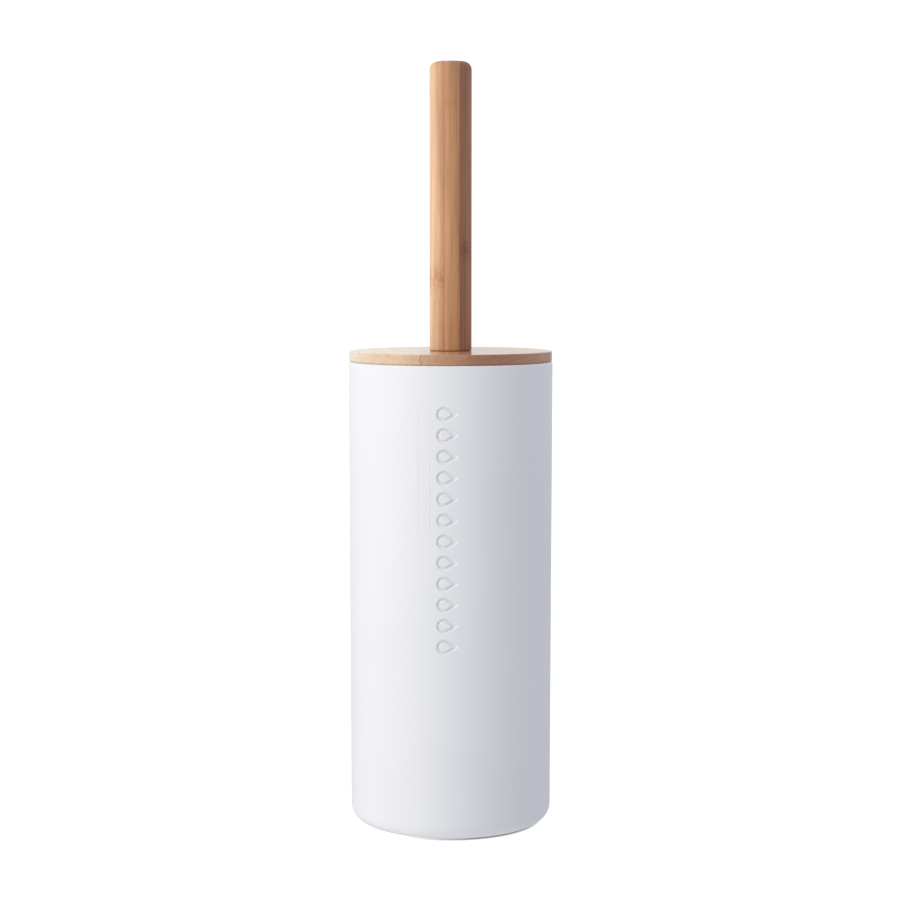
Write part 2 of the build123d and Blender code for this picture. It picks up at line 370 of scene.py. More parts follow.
def bamboo(
    name, along, stops, span, plies, knots, joint, wobble, contrast, gloss, lower_edge_shade, patches=(),
    **constants,
):
    """Laminated bamboo. Plies are stacked along X, and the fibres run along Y or Z.

    stops are (x, colour) across the plies, over span. plies is the place of the main joint and
    the width of a ply. knots are (ply, place along the fibres, half width, strength). joint is
    the darkness and the half width of the main joint and of the others, and wobble how far a
    joint strays. contrast is how much the broad grain varies, and gloss the range of roughness.
    The argument after gloss gives the level, the height and the strength of painted shade along the
    lower edge, where the piece meets the part below. patches are
    (x, x, softness, place along the fibres, half length, gain) of paler or darker parts.
    """
    paint = Paint(name, **constants)
    coords = paint.millimetres()
    x, y, z = paint.split(coords)
    length, across = (z, y) if along == "z" else (y, z)
    ply_start, ply_width = plies

    drift = paint.vector(3.0, across, paint.math("MULTIPLY", length, 0.08))
    strayed = paint.math("ADD", x, paint.vary(paint.noise(drift, 0.4), -wobble, wobble))
    place = paint.math("DIVIDE", paint.math("SUBTRACT", strayed, ply_start), ply_width)
    ply = paint.math("FLOOR", place)
    within = paint.math("FRACT", place)
    shift = paint.math("MULTIPLY", ply, 41.7)

    def fibres(fine, long, detail=3.0):
        """Streaks about 1/fine wide and 1/long long, different in each ply."""
        vector = paint.vector(
            paint.math("ADD", paint.math("MULTIPLY", x, fine), shift),
            paint.math("MULTIPLY", across, fine),
            paint.math("MULTIPLY_ADD", length, long, shift),
        )
        return paint.noise(vector, 1.0, detail, 0.6)

    # Colours across the plies, from the stops, which carry painted light as well as the plies' own
    # colours
    low, high = span
    ply_tone_and_light = paint.ramp(
        paint.mask(strayed, low, high),
        [((stop - low) / (high - low), colour) for stop, colour in stops],
    )
    broad = paint.vary(fibres(0.45, 0.016, 2.0), 1 - contrast, 1 + contrast)
    fine = fibres(2.8, 0.045)
    dashes = fibres(4.2, 0.14, 2.0)
    shade = paint.math("MULTIPLY", broad, paint.vary(fine, 0.92, 1.07))
    for left, right, soft, centre, half_length, gain in patches:
        from_left = paint.mask(strayed, left - soft, left + soft)
        from_right = paint.mask(strayed, right + soft, right - soft)
        away = paint.math("ABSOLUTE", paint.math("SUBTRACT", length, centre))
        change = paint.math("MULTIPLY", from_left, from_right)
        change = paint.math("MULTIPLY", change, paint.fit(away, 0.0, half_length, gain, 0.0))
        shade = paint.math("MULTIPLY_ADD", shade, change, shade)
    colour = paint.scaled(ply_tone_and_light, shade)
    bundle = paint.fit(dashes, 0.585, 0.68, 0.0, 0.36)
    colour = paint.blend(bundle, colour, BUNDLE_BROWN)

    sway = paint.vary(paint.noise(coords, 0.22, 2.0), -2.6, 2.6)
    level = paint.math("ADD", length, sway)
    blotches = paint.noise(paint.stretched(coords, 1.0, 1.0, 0.7), 0.45, 3.0, 0.6)
    blotches = paint.fit(blotches, 0.36, 0.62, 0.15, 1.0)
    for index, centre, half_width, strength in knots:
        away = paint.math("ABSOLUTE", paint.math("SUBTRACT", level, centre))
        here = paint.math("COMPARE", ply, float(index), 0.4)
        band = paint.math("MULTIPLY", paint.fit(away, 0.0, half_width, strength, 0.0), here)
        ridge = paint.math("MULTIPLY", paint.fit(away, 0.1, 0.9, 0.55 * strength, 0.0), here)
        amount = paint.math("MULTIPLY", paint.math("MAXIMUM", band, ridge), blotches)
        colour = paint.blend(amount, colour, paint.stretched(colour, *KNOT_SHADE))

    (main_dark, main_width), (other_dark, other_width) = joint
    edge = paint.math("MINIMUM", within, paint.math("SUBTRACT", 1.0, within))
    from_main = paint.math("ABSOLUTE", paint.math("SUBTRACT", x, ply_start))
    seam_width = paint.fit(from_main, 2.0, 4.0, main_width, other_width)
    seam = paint.fit(paint.math("MULTIPLY", edge, ply_width), 0.03, seam_width, 1.0, 0.0)
    glue = paint.math("MULTIPLY", seam, paint.fit(from_main, 2.0, 4.0, main_dark, other_dark))
    colour = paint.blend(glue, colour, GLUE_BROWN)
    # Painted shade along the lower edge: the handle's foot on the lid, the lid's edge over the case
    bottom, height, strength = lower_edge_shade
    lower_shade = paint.fit(z, bottom, bottom + height, strength, 0.0)
    paint.link(paint.blend(lower_shade, colour, LOWER_EDGE_SHADE_BROWN), "Base Color")

    paint.link(paint.vary(fine, *gloss), "Roughness")
    relief = paint.math("SUBTRACT", fine, paint.math("MULTIPLY", bundle, 0.5))
    paint.bump(paint.math("SUBTRACT", relief, glue), 0.03 * MM)
    return paint


def handle_bamboo():
    """Three plies of the handle: pale on the left, golden in the middle, dark on the right. The
    pale left edge is partly a painted highlight on the side the key lights.
    """
    # Partly painted light: the palest stops at the left edge stand for sheen where the key lights
    # the rod
    stops = [
        (-10.2, (0.90, 0.66, 0.44)),
        (-8.6, (0.82, 0.54, 0.33)),
        (-7.3, (0.74, 0.455, 0.27)),
        (-5.5, (0.68, 0.38, 0.215)),
        (-2.95, (0.52, 0.25, 0.13)),
        (-2.85, (0.68, 0.37, 0.195)),
        (-1.0, (0.61, 0.32, 0.155)),
        (2.0, (0.61, 0.31, 0.15)),
        (4.45, (0.50, 0.24, 0.135)),
        (4.55, (0.335, 0.155, 0.093)),
        (7.0, (0.40, 0.185, 0.11)),
        (10.2, (0.45, 0.225, 0.135)),
    ]
    knots = [(-1, 268.0, 8.0, 0.9), (1, 281.5, 7.0, 0.8), (0, 352.0, 5.0, 0.3)]
    paint = bamboo(
        "bamboo_handle", "z", stops, (-10.3, 10.3), (-2.9, 7.4), knots,
        joint=((0.4, 0.16), (0.4, 0.16)), wobble=0.2, contrast=0.14, gloss=(0.60, 0.76),
        # Painted shade at the foot, where the rod meets the lid
        lower_edge_shade=(handle_low.z / MM, 1.0, 0.3), IOR=1.33,
        patches=[(-7.4, -0.4, 1.0, 291.0, 27.0, 0.17), (0.0, 3.2, 0.8, 372.0, 40.0, -0.24)],
    )
    return paint.material


def lid_bamboo():
    """Edge-glued strips of the lid, glossier on top. Their own colours carry painted light: paler
    on the lit left, browner on the shaded right.
    """
    # Partly painted light: the fall from pale on the left to brown on the right follows the key
    # light
    stops = [
        (-50.0, (0.92, 0.78, 0.60)),
        (-37.0, (0.84, 0.62, 0.42)),
        (-25.0, (0.80, 0.57, 0.38)),
        (-14.2, (0.70, 0.45, 0.28)),
        (-14.0, (0.66, 0.41, 0.25)),
        (-5.0, (0.56, 0.31, 0.17)),
        (7.8, (0.48, 0.235, 0.135)),
        (8.0, (0.44, 0.21, 0.125)),
        (29.8, (0.46, 0.22, 0.13)),
        (30.0, (0.49, 0.24, 0.14)),
        (50.0, (0.60, 0.34, 0.20)),
    ]
    knots = [(0, -31.0, 6.0, 0.6), (1, -46.0, 5.0, 0.4), (-1, 22.0, 7.0, 0.6), (2, -14.0, 7.0, 0.6)]
    paint = bamboo(
        "bamboo_lid", "y", stops, (-50.5, 50.5), (-14.1, 22.0), knots,
        joint=((0.78, 0.36), (0.14, 0.16)), wobble=1.0, contrast=0.08, gloss=(0.50, 0.66),
        # Painted shade along the lower edge, in the gap above the case's rim
        lower_edge_shade=(lid_low.z / MM + 0.1, 0.9, 0.35), IOR=1.42, Coat_Roughness=0.16,
    )
    height = paint.split(paint.millimetres())[2]
    top = lid_high.z / MM
    paint.link(paint.fit(height, top - 0.6, top - 0.1, 0.35, 1.0), "Coat Weight")
    return paint.material


def steel():
    """Drawn stainless steel with fine lengthwise lines."""
    paint = Paint("stainless_steel", Metallic=1.0)
    coords = paint.millimetres()
    lines = paint.noise(paint.stretched(coords, 3.2, 3.2, 0.03), 1.0, 4.0, 0.65)
    colour = paint.blend(paint.mask(lines, *NOISE_MIDDLE), (0.62, 0.62, 0.61), (0.84, 0.84, 0.83))
    paint.link(colour, "Base Color")
    paint.link(paint.vary(lines, 0.13, 0.24), "Roughness")
    paint.bump(lines, 0.002 * MM)
    return paint.material


def brass():
    """Turned brass of the threaded inserts."""
    paint = Paint("turned_brass", Metallic=1.0)
    coords = paint.millimetres()
    rings = paint.noise(paint.stretched(coords, 0.4, 0.4, 7.0), 1.0, 3.0)
    paint.link(paint.blend(rings, (0.70, 0.49, 0.20), (0.83, 0.64, 0.31)), "Base Color")
    paint.link(paint.vary(rings, 0.24, 0.42), "Roughness")
    paint.bump(rings, 0.01 * MM)
    return paint.material


def rubber(name, light, dark):
    """Matt rubber or silicone with a dusty bloom."""
    paint = Paint(name, IOR=1.41)
    coords = paint.millimetres()
    bloom = paint.noise(coords, 0.3, 5.0, 0.6)
    paint.link(paint.blend(paint.mask(bloom, *NOISE_MIDDLE), light, dark), "Base Color")
    paint.link(paint.vary(bloom, 0.55, 0.75), "Roughness")
    paint.bump(paint.noise(coords, 5.0, 3.0), 0.012 * MM)
    return paint.material


def bristle_nylon():
    """White nylon filament, a little warmer and greyer towards the root."""
    paint = Paint("bristle_nylon", IOR=1.53)
    coords = paint.millimetres()
    x, y, _ = paint.split(coords)
    strands = paint.noise(coords, 2.2, 3.0)
    outward = paint.mask(paint.radius(x, y), 12.0, 36.0)
    colour = paint.blend(outward, (0.86, 0.855, 0.83), (0.95, 0.955, 0.96))
    colour = paint.blend(paint.fit(strands, *NOISE_MIDDLE, 0.0, 0.35), colour, (0.86, 0.87, 0.88))
    paint.link(colour, "Base Color")
    paint.link(paint.vary(strands, 0.30, 0.42), "Roughness")
    paint.bump(strands, 0.01 * MM)
    return paint.material


# ---- Case ----------------------------------------------------------------------------------


def case_radius(height):
    """Outer radius of the tapered wall at a height."""
    along = (height - case_low.z) / (case_high.z - case_low.z)
    return CASE_TOP_RADIUS - CASE_TAPER * (1 - along)


def round_cone_outline(big, small, length, arc_steps, flank_steps):
    """Points (along, across) round a circle at 0, a smaller one at `length` and their flanks."""
    turn = math.acos((big - small) / length)
    big_turns = np.linspace(turn, 2 * math.pi - turn, arc_steps + 1)
    small_turns = np.linspace(-turn, turn, arc_steps // 3 + 1)
    big_arc = np.stack([big * np.cos(big_turns), big * np.sin(big_turns)], 1)
    small_arc = np.stack([length + small * np.cos(small_turns), small * np.sin(small_turns)], 1)
    share = np.linspace(0, 1, flank_steps + 1)[1:-1, None]
    there = big_arc[-1] + (small_arc[0] - big_arc[-1]) * share
    back = small_arc[-1] + (big_arc[0] - small_arc[-1]) * share
    return np.concatenate([big_arc, there, small_arc, back])


def groove_wall(place, outline, steps, side, edge, depth):
    """Loops of (x, z, depth) along an outline, from just beside the groove down to its floor.

    outline is (big, small, length) of a round cone. side is -1 where the groove lies inside the
    outline, and 1 where it lies outside.
    """
    big, small, length = outline
    loops = []
    for across_wall, share in WALL_STEPS:
        shift = side * across_wall * edge
        points = round_cone_outline(big + shift, small + shift, length, *steps)
        x, z = place(points[:, 0], points[:, 1])
        loops.append(np.stack([x, z, np.full_like(x, share * depth)], 1))
    return loops


def motif_loops():
    """All the loops of the drops, the rules and the dashes."""
    loops = []
    reach = MOTIF_WIDTH - DROP_RADIUS - DROP_TIP_RADIUS
    hollow = DROP_RADIUS - DROP_STROKE
    hollow_reach = reach * (hollow - HOLLOW_TIP_RADIUS) / (DROP_RADIUS - DROP_TIP_RADIUS)
    for centre in np.linspace(MOTIF_BOTTOM + DROP_RADIUS, MOTIF_TOP - DROP_RADIUS, MOTIF_COUNT):
        def drop(along, across, centre=centre):
            return MOTIF_LEFT + DROP_RADIUS + along, centre + across

        outer = (DROP_RADIUS, DROP_TIP_RADIUS, reach)
        inner = (hollow, HOLLOW_TIP_RADIUS, hollow_reach)
        loops += groove_wall(drop, outer, DROP_STEPS, -1, MOTIF_EDGE, MOTIF_DEPTH)
        loops += groove_wall(drop, inner, HOLLOW_STEPS, 1, MOTIF_EDGE, MOTIF_DEPTH)

    half_rule = RULE_WIDTH / 2
    for rule_x in (RULE_LEFT, RULE_RIGHT):
        def rule(along, across, rule_x=rule_x):
            return rule_x + across, RULE_BOTTOM + half_rule + along

        size = (half_rule, half_rule, RULE_TOP - RULE_BOTTOM - RULE_WIDTH)
        loops += groove_wall(rule, size, RULE_STEPS, -1, RULE_EDGE, RULE_DEPTH)

    middle_x = (RULE_LEFT + RULE_RIGHT) / 2
    middle_z = (RULE_TOP + RULE_BOTTOM) / 2
    straight = DASH_LENGTH - DASH_WIDTH
    dash_count = int((RULE_TOP - RULE_BOTTOM - DASH_PITCH) // DASH_PITCH) + 1
    for index in range(dash_count):
        def dash(along, across, height=middle_z + (index - (dash_count - 1) / 2) * DASH_PITCH):
            return middle_x - straight / 2 + along, height + across

        size = (DASH_WIDTH / 2, DASH_WIDTH / 2, straight)
        loops += groove_wall(dash, size, DASH_STEPS, -1, RULE_EDGE, RULE_DEPTH)
    return loops


def window_triangles(border, angles, low, high):
    """Triangulates the window round the motif.

    border is the window's outline as (angle, z), in order. angles, low and high give the columns
    and the ends of the filling points. Returns (angle, z, depth) of each point, the place in
    border that it comes from or None, and the triangles.
    """
    points = [(angle, z, 0.0) for angle, z in border]
    edges = [(i, (i + 1) % len(points)) for i in range(len(points))]
    loops = motif_loops()
    near = kdtree.KDTree(sum(len(loop) for loop in loops))
    for loop in loops:
        first = len(points)
        for x, z, depth in loop:
            angle = math.asin(x / case_radius(z))
            near.insert((angle * CASE_TOP_RADIUS, z, 0), len(points))
            points.append((angle, z, depth))
        edges += [(first + i, first + (i + 1) % len(loop)) for i in range(len(loop))]
    near.balance()
    for z in np.linspace(low, high, FILL_ROWS + 1)[1:-1]:
        for angle in angles[1:-1]:
            _, nearest, away = near.find((angle * CASE_TOP_RADIUS, z, 0))
            if away > FILL_CLEARANCE:
                points.append((angle, z, points[nearest][2]))

    flat = [Vector((angle * CASE_TOP_RADIUS, z)) / MM for angle, z, depth in points]
    found = geometry.delaunay_2d_cdt(flat, edges, [], 0, 1e-6)
    triangles, sources = found[2], [source[0] for source in found[3]]
    places = [points[source] for source in sources]
    from_border = [source if source < len(border) else None for source in sources]
    return places, from_border, triangles


def case_profiles():
    """Points (r, z) below, beside and after the motif's window.

    They run from the underside's centre up the outside, over the rim and down to the inside's
    centre.
    """
    base, rim = case_low.z, case_high.z
    window_low = MOTIF_BOTTOM - WINDOW_MARGIN
    window_high = MOTIF_TOP + WINDOW_MARGIN
    recess = base + UNDERSIDE_RECESS_DEPTH
    floor = base + CASE_FLOOR
    round_centre = case_radius(base + CASE_BASE_ROUND) - CASE_BASE_ROUND
    inner_round = CASE_BASE_ROUND - CASE_WALL
    inner_centre = case_radius(floor + inner_round) - CASE_WALL - inner_round

    recess_radius, recess_round = UNDERSIDE_RECESS_RADIUS, UNDERSIDE_RECESS_ROUND
    below = [(0.0, recess)] + line((0.0, recess), (recess_radius - recess_round, recess), 5)
    below += arc(recess_radius, base + recess_round, recess_round, 180, 270, 3)
    below += line((recess_radius, base), (round_centre, base), 4)[:-1]
    below += arc(round_centre, base + CASE_BASE_ROUND, CASE_BASE_ROUND, -90, 0, 18)
    below += line(below[-1], (case_radius(window_low), window_low), 12)
    inside_window = [
        (case_radius(z), z) for z in np.linspace(window_low, window_high, WINDOW_BANDS + 1)[1:]
    ]
    outer_round_centre = case_radius(rim) - CASE_RIM_OUTER_ROUND
    wall_top = rim - CASE_RIM_OUTER_ROUND
    after = line(inside_window[-1], (case_radius(wall_top), wall_top), 4)[:-1]
    after += arc(outer_round_centre, wall_top, CASE_RIM_OUTER_ROUND, 0, 90, 6)
    lip = CASE_RIM_INNER_ROUND
    after += arc(case_radius(rim) - CASE_WALL + lip, rim - lip, lip, 90, 180, 5)
    after += line(after[-1], (inner_centre + inner_round, floor + inner_round), 16)[:-1]
    after += arc(inner_centre, floor + inner_round, inner_round, 0, -90, 10)
    after += line((inner_centre, floor), (0.0, floor), 6)
    return below, inside_window, after


def build_case():
    """One closed shell: rows and columns all round, and triangles round the motif's grooves."""
    below, beside, after = case_profiles()
    profile = below + beside + after
    first_row = len(below) - 1
    last_row = first_row + WINDOW_BANDS
    angle_left = math.asin(WINDOW_LEFT / CASE_TOP_RADIUS)
    angle_right = math.asin(WINDOW_RIGHT / CASE_TOP_RADIUS)
    window_angles = np.linspace(angle_left, angle_right, WINDOW_COLUMNS + 1)
    plain_angles = np.linspace(angle_right, angle_left + 2 * math.pi, PLAIN_COLUMNS + 1)[1:-1]
    angles = np.concatenate([window_angles, plain_angles])
    count = len(angles)

    vertices, rows = [], []

    def add(r, z, angle):
        vertices.append((r * math.sin(angle), -r * math.cos(angle), z))
        return len(vertices) - 1

    for index, (r, z) in enumerate(profile):
        if r < ON_AXIS:
            rows.append([add(0.0, z, 0.0)] * count)
            continue
        in_window = first_row < index < last_row
        rows.append([
            None if in_window and 0 < i < WINDOW_COLUMNS else add(r, z, angle)
            for i, angle in enumerate(angles)
        ])

    faces = []
    for index in range(len(profile) - 1):
        in_window = first_row <= index < last_row
        columns = range(WINDOW_COLUMNS if in_window else 0, count)
        faces += ring_faces(rows[index], rows[index + 1], columns)

    # The window's outline, anticlockwise from its lower left corner, as (row, column)
    last = WINDOW_COLUMNS
    outline = [(first_row, i) for i in range(last)]
    outline += [(row, last) for row in range(first_row, last_row)]
    outline += [(last_row, i) for i in range(last, 0, -1)]
    outline += [(row, 0) for row in range(last_row, first_row, -1)]
    border = [(angles[column], profile[row][1]) for row, column in outline]
    low, high = profile[first_row][1], profile[last_row][1]
    places, from_border, triangles = window_triangles(border, window_angles, low, high)
    indices = []
    for (angle, z, depth), source in zip(places, from_border):
        if source is None:
            indices.append(add(case_radius(z) - depth, z, angle))
        else:
            row, column = outline[source]
            indices.append(rows[row][column])
    faces.extend([indices[corner] for corner in triangle] for triangle in triangles)
    return make_object("case_shell", vertices, faces)


# ---- Other turned pieces -------------------------------------------------------------------


def build_lid():
    """Bamboo disc with eased edges, a centre hole and the seal's groove underneath."""
    radius, bottom, top = lid_high.x, lid_low.z, lid_high.z
    top_round, bottom_round, hole, ease = 0.5 * MM, 0.7 * MM, 4.7 * MM, 0.3 * MM
    groove_in, groove_out = 43.6 * MM, 46.4 * MM
    groove_top = seal_high.z
    profile = [(hole, bottom + ease), (hole + ease, bottom)]
    profile += line((hole + ease, bottom), (groove_in, bottom), 12)
    profile += [(groove_in, groove_top), (groove_out, groove_top), (groove_out, bottom)]
    profile += arc(radius - bottom_round, bottom + bottom_round, bottom_round, -90, 0, 6)
    profile += line((radius, bottom + bottom_round), (radius, top - top_round), 6)[:-1]
    profile += arc(radius - top_round, top - top_round, top_round, 0, 90, 6)
    profile += line((radius - top_round, top), (hole + ease, top), 24)
    profile += [(hole, top - ease)]
    return lathe("lid_bamboo_disc", profile, segments=256, closed=True)


def build_handle():
    """Bamboo rod with a softly domed top, an eased foot and the bore for its insert."""
    radius, foot, top = handle_high.x, handle_low.z, handle_high.z
    top_round, foot_round, bore, bore_depth = 3.7 * MM, 0.5 * MM, 4.5 * MM, 18.0 * MM
    crown = 0.12 * MM
    profile = [(0.0, foot + bore_depth), (bore, foot + bore_depth), (bore, foot)]
    profile += line((bore, foot), (radius - foot_round, foot), 3)[:-1]
    profile += arc(radius - foot_round, foot + foot_round, foot_round, -90, 0, 6)
    profile += line((radius, foot + foot_round), (radius, top - top_round), 60)[:-1]
    shoulder = arc(radius - top_round, top - top_round, top_round, 0, 90, 16)
    profile += [(r, z - crown * (r / radius) ** 2) for r, z in shoulder]
    flat = line((radius - top_round, top), (0.0, top), 8)
    profile += [(r, z - crown * (r / radius) ** 2) for r, z in flat]
    return lathe("handle_bamboo_rod", profile, segments=128)


# ---- Bristles ------------------------------------------------------------------------------

FILAMENTS_PER_TUFT = 56
FILAMENT_RADIUS = 0.165 * MM
FILAMENT_SIDES = 3
FILAMENT_RINGS = 9
TUFT_ROOT_RADIUS = 1.15 * MM
TUFT_TIP_RADIUS = 3.9 * MM
CRIMP_HEIGHT = 0.16 * MM
CRIMP_LENGTH = 9.0 * MM
# How far tips stray sideways, how much lengths differ, how much the tuft's end is domed, how
# filaments fan out along their length, how thin their tips are, the range of the crimp's phases,
# and how upright a tuft has to be for its side direction to be taken from X
TIP_STRAY = 0.32 * MM
LENGTH_SCATTER = 0.035
TUFT_DOME = 0.02
FAN_POWER = 1.25
TIP_TAPER = 0.82
WAVE_PHASES = 6.3
STEEP = 0.9


def tufts_of(node):
    """Root centre and tip centre of each cone of a bristle node, read from its mesh."""
    work = bmesh.new()
    work.from_mesh(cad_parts[node].data)
    bmesh.ops.remove_doubles(work, verts=work.verts, dist=0.01 * MM)
    left = set(work.verts)
    tufts = []
    while left:
        island, edge = set(), [left.pop()]
        while edge:
            vertex = edge.pop()
            island.add(vertex)
            for link in vertex.link_edges:
                other = link.other_vert(vertex)
                if other in left:
                    left.remove(other)
                    edge.append(other)
        points = np.array([v.co for v in island])
        centre = points.mean(0)
        axis = np.linalg.svd(points - centre)[2][0]
        along = (points - centre) @ axis
        ends = [points[along < 0], points[along > 0]]
        ends.sort(key=lambda end: np.linalg.norm(end - end.mean(0), axis=1).mean())
        tufts.append((ends[0].mean(0), ends[1].mean(0)))
    work.free()
    tufts.sort(key=lambda tuft: (round(tuft[1][0], 5), round(tuft[1][1], 5)))
    return tufts


def tuft_directions(root, tip):
    """A tuft's length, the direction along it and two directions square to it."""
    length = np.linalg.norm(tip - root)
    axis = (tip - root) / length
    side = np.cross(axis, (0, 0, 1) if abs(axis[2]) < STEEP else (1, 0, 0))
    side /= np.linalg.norm(side)
    return length, axis, side, np.cross(side, axis)


def filament_lines(root, tip):
    """Centre lines of one tuft's filaments: filaments x rings x 3."""
    length, axis, side, up = tuft_directions(root, tip)
    count = FILAMENTS_PER_TUFT
    index = np.arange(count)
    spread = np.sqrt((index + 0.5) / count)
    turn = index * math.pi * (3 - math.sqrt(5)) + rng.uniform(0, 2 * math.pi)
    steps = np.linspace(0, 1, FILAMENT_RINGS)[None, :, None]
    ray = np.cos(turn)[:, None] * side + np.sin(turn)[:, None] * up
    stray = rng.normal(0, TIP_STRAY, (count, 1)) * side
    stray = stray + rng.normal(0, TIP_STRAY, (count, 1)) * up
    start = spread[:, None] * TUFT_ROOT_RADIUS * ray
    finish = spread[:, None] * TUFT_TIP_RADIUS * ray + stray
    share = 1 - rng.uniform(0, LENGTH_SCATTER, count) - TUFT_DOME * spread**2
    reach = (length * share)[:, None, None]
    phase = rng.uniform(0, WAVE_PHASES, (count, 1, 1))
    wave = np.sin(2 * math.pi * steps * length / CRIMP_LENGTH + phase)
    lean = rng.uniform(0, 2 * math.pi, (count, 1))
    crimp = (np.cos(lean) * side + np.sin(lean) * up)[:, None, :]
    sideways = start[:, None, :] + (finish - start)[:, None, :] * steps**FAN_POWER
    return root + axis * reach * steps + sideways + crimp * wave * CRIMP_HEIGHT * steps


def build_bristles(node):
    """Every filament of one ring of tufts as a fine three-sided tube with closed ends."""
    vertices, faces = [], []
    corner = np.linspace(0, 2 * math.pi, FILAMENT_SIDES, endpoint=False)
    for root, tip in tufts_of(node):
        lines = filament_lines(root, tip)
        _, _, side, up = tuft_directions(root, tip)
        outline = np.cos(corner)[:, None] * side + np.sin(corner)[:, None] * up
        outline = FILAMENT_RADIUS * outline
        taper = np.linspace(1.0, TIP_TAPER, FILAMENT_RINGS)[None, :, None, None]
        tubes = lines[:, :, None, :] + outline[None, None] * taper
        for tube in tubes:
            first = len(vertices)
            vertices.extend(tube.reshape(-1, 3))
            for ring in range(FILAMENT_RINGS - 1):
                low = first + ring * FILAMENT_SIDES
                high = low + FILAMENT_SIDES
                for k in range(FILAMENT_SIDES):
                    n = (k + 1) % FILAMENT_SIDES
                    faces.append((low + k, low + n, high + n, high + k))
            last = first + (FILAMENT_RINGS - 1) * FILAMENT_SIDES
            faces.append(tuple(range(first, first + FILAMENT_SIDES))[::-1])
            faces.append(tuple(range(last, last + FILAMENT_SIDES)))
    return make_object(node.replace("bristle", "filaments"), vertices, faces, smooth_angle=80.0)


# ---- Camera, lights, floor -----------------------------------------------------------------

CAMERA_DISTANCE = 1.071
CAMERA_PITCH = 5.0
CAMERA_HEIGHT = 0.2779
CAMERA_SIDE = -0.0003
LENS = 87.3
SENSOR_WIDTH = 36.0

# The key, a softbox above the left front
KEY_PLACE = (-0.87, -0.68, 0.86)
KEY_TARGET = (0, 0, 0.16)
KEY_SIZE = 0.7
KEY_POWER = 6.4
KEY_COLOUR = (1.0, 0.966, 0.91)

# The world's strengths, and where each begins and ends, as shares of a direction
LIGHT_SIDES = 0.59
LIGHT_BACK = 1.20
LIGHT_BELOW = 0.48
HORIZON = 0.12
LIGHT_TABLE = 0.62
TABLE_DIRECTION = (-0.60, -0.30, -0.74)
TABLE_SPREAD = (0.4, 0.9)
LIGHT_CARD = 0.89
CARD_DIRECTION = (0.0, 0.985, 0.173)
CARD_SPREAD = (0.88, 0.94)
SEEN_WHITE = 1.1
COOL_WHITE = (0.955, 0.99, 1.08, 1)
WARM_WHITE = (0.985, 0.98, 0.965, 1)
CARD_COLOUR = (1.0, 0.985, 0.93, 1)

# The floor, in metres, and its glow. Its painted contact shadow, in mm: how far outside the
# holder's contact the glow comes in, and the span of x over which it comes in right up to the
# holder, on the left
FLOOR_SIZE = 12.0
FLOOR_GLOW = 0.86
CONTACT_SHADOW_RING = (0.6, 3.2)
UNSHADOWED_SIDE = (12.0, -25.0)


def set_camera():
    """Camera in front of the holder, looking slightly down."""
    data = bpy.data.cameras.new("camera")
    data.lens = LENS
    data.sensor_width = SENSOR_WIDTH
    data.dof.use_dof = False
    camera = bpy.data.objects.new("camera", data)
    camera.location = (CAMERA_SIDE, -CAMERA_DISTANCE, CAMERA_HEIGHT)
    camera.rotation_euler = (math.radians(90 - CAMERA_PITCH), 0, 0)
    bpy.context.scene.collection.objects.link(camera)
    bpy.context.scene.camera = camera


def set_world():
    """White surroundings: white to the camera, and as light a bright back wall and softer sides.

    The light from below is brightest and least blue from the left, where the key lights the
    table. A card, a little warmer than the wall, stands low behind the holder.
    """
    world = bpy.data.worlds.new("studio")
    bpy.context.scene.world = world
    world.use_nodes = True
    tree = world.node_tree

    def node(kind, *inputs, **settings):
        made = tree.nodes.new("ShaderNode" + kind)
        for setting, value in settings.items():
            setattr(made, setting, value)
        for index, value in enumerate(inputs):
            if isinstance(value, bpy.types.NodeSocket):
                tree.links.new(value, made.inputs[index])
            elif value is not None:
                made.inputs[index].default_value = value
        return made.outputs

    direction = node("TexCoord")["Generated"]
    split = node("SeparateXYZ", direction)
    seen = node("LightPath")["Is Camera Ray"]

    def towards(aim, spread):
        """1 in the direction aim, 0 far from it."""
        facing = node("VectorMath", direction, aim, operation="DOT_PRODUCT")["Value"]
        return node("MapRange", facing, *spread, 0.0, 1.0)[0]

    def product(first, second):
        return node("Math", first, second, operation="MULTIPLY")[0]

    towards_back = node("MapRange", split[1], 0.0, 1.0, LIGHT_SIDES, LIGHT_BACK)[0]
    bounce = towards(TABLE_DIRECTION, TABLE_SPREAD)
    below = node("MapRange", bounce, 0.0, 1.0, LIGHT_BELOW, LIGHT_BELOW + LIGHT_TABLE)[0]
    under = node("MapRange", split[2], -HORIZON, HORIZON, 1.0, 0.0)[0]
    room = node("Mix", under, None, towards_back, below)[0]
    unseen = node("Math", 1.0, seen, operation="SUBTRACT")[0]
    card = product(towards(CARD_DIRECTION, CARD_SPREAD), unseen)
    lighting = node("Mix", card, None, room, LIGHT_CARD)[0]
    strength = node("Mix", seen, None, lighting, SEEN_WHITE)[0]
    tint = node("MixRGB", product(bounce, under), COOL_WHITE, WARM_WHITE)[0]
    tint = node("MixRGB", card, tint, CARD_COLOUR)[0]
    background = tree.nodes["Background"]
    tree.links.new(tint, background.inputs["Color"])
    tree.links.new(strength, background.inputs["Strength"])


def add_key():
    """A square softbox, turned to the holder."""
    data = bpy.data.lights.new("key", "AREA")
    data.shape = "RECTANGLE"
    data.size = data.size_y = KEY_SIZE
    data.energy = KEY_POWER
    data.color = KEY_COLOUR
    lamp = bpy.data.objects.new("key", data)
    lamp.location = KEY_PLACE
    aim = Vector(KEY_TARGET) - Vector(KEY_PLACE)
    lamp.rotation_euler = aim.to_track_quat("-Z", "Y").to_euler()
    bpy.context.scene.collection.objects.link(lamp)


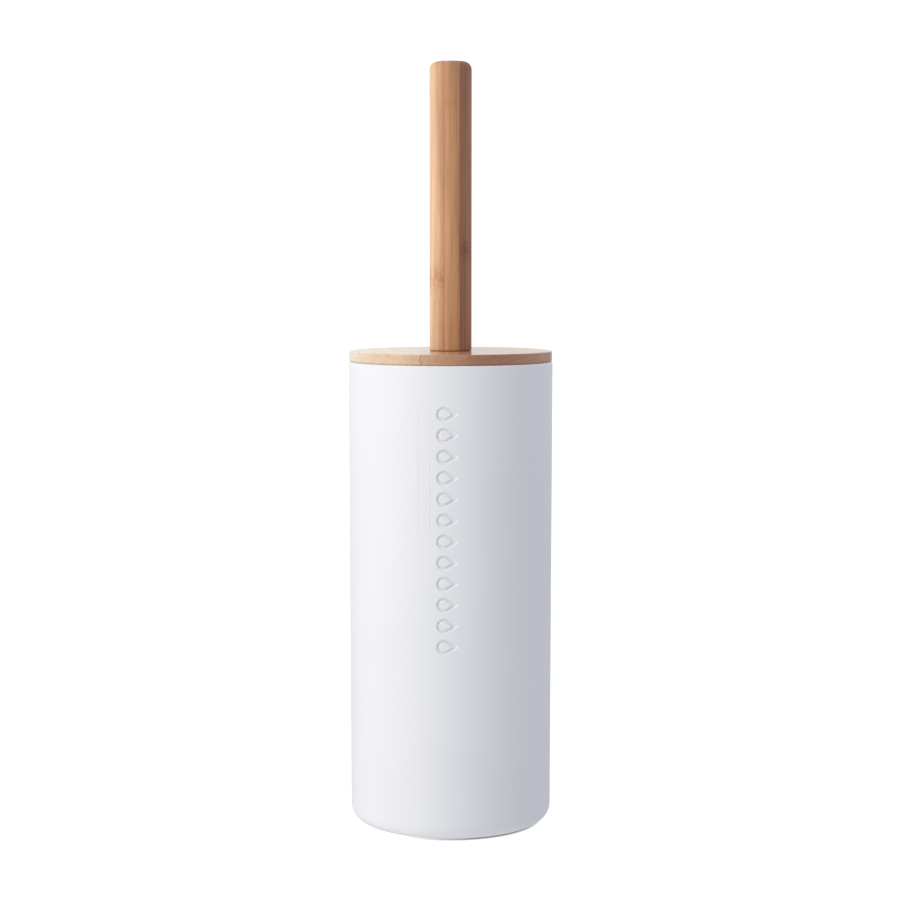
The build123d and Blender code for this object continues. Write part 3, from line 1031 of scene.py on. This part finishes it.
def build_floor():
    """A wide pale floor that glows, as a lit white sweep does, with a painted contact shadow: no
    glow and a darker colour round the holder's foot, except on the left.
    """
    bpy.ops.mesh.primitive_plane_add(size=FLOOR_SIZE)
    floor = bpy.context.object
    floor.name = "floor"
    constants = {"Roughness": 0.9, "Specular_IOR_Level": 0.0, "Emission_Color": (1, 1, 1, 1)}
    paint = Paint("floor_white", **constants)
    x, y, _ = paint.split(paint.millimetres())
    contact = (case_high.x - CASE_BASE_ROUND) / MM
    ring_inner, ring_outer = CONTACT_SHADOW_RING
    outside_shadow = paint.mask(paint.radius(x, y), contact + ring_inner, contact + ring_outer)
    # Painted shadow: glow and colour drop round the holder's foot, but not on the left, where the
    # key lights the floor
    clear = paint.math("MAXIMUM", outside_shadow, paint.mask(x, *UNSHADOWED_SIDE))
    paint.link(paint.blend(clear, (0.32, 0.32, 0.33), (0.35, 0.35, 0.355)), "Base Color")
    paint.link(paint.math("MULTIPLY", clear, FLOOR_GLOW), "Emission Strength")
    floor.data.materials.append(paint.material)
    floor.visible_diffuse = False
    floor.visible_glossy = False


set_camera()
set_world()
add_key()
build_floor()
bpy.context.scene.view_settings.view_transform = "Standard"

# ---- Assembly ------------------------------------------------------------------------------

white_case = case_plastic()
metal = steel()
brass_metal = brass()
white_plastic = moulded_plastic("head_white_plastic", (0.86, 0.86, 0.86), (0.82, 0.82, 0.83), 0.35)
cup_plastic = moulded_plastic("cup_grey_plastic", (0.80, 0.81, 0.82), (0.76, 0.77, 0.79), 0.42)
nylon = moulded_plastic("washer_nylon", (0.83, 0.81, 0.76), (0.78, 0.76, 0.71), 0.45)
pad_rubber = rubber("pad_rubber", (0.55, 0.56, 0.57), (0.48, 0.49, 0.50))
silicone = rubber("seal_silicone", (0.82, 0.82, 0.81), (0.77, 0.77, 0.76))
nylon_filament = bristle_nylon()

dress(build_case(), white_case, "holder", "case_plastic", "outer_case")
dress(build_lid(), lid_bamboo(), "lid", "lid_bamboo", "lid_disc")
dress(build_handle(), handle_bamboo(), "brush", "handle_bamboo", "handle")

repaint(pad_rubber, "foot_pads")
repaint(cup_plastic, "drip_cup")
repaint(silicone, "lid_seal")
repaint(brass_metal, "handle_insert", "head_insert")
repaint(metal, "stem_top_plug", "stem_end_plug", "stem_tube")
repaint(nylon, "lid_washer")
repaint(white_plastic, "head_core")
for node in sorted(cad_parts):
    if node.startswith("bristle_"):
        dress(build_bristles(node), nylon_filament, "brush", "bristle_nylon", node)
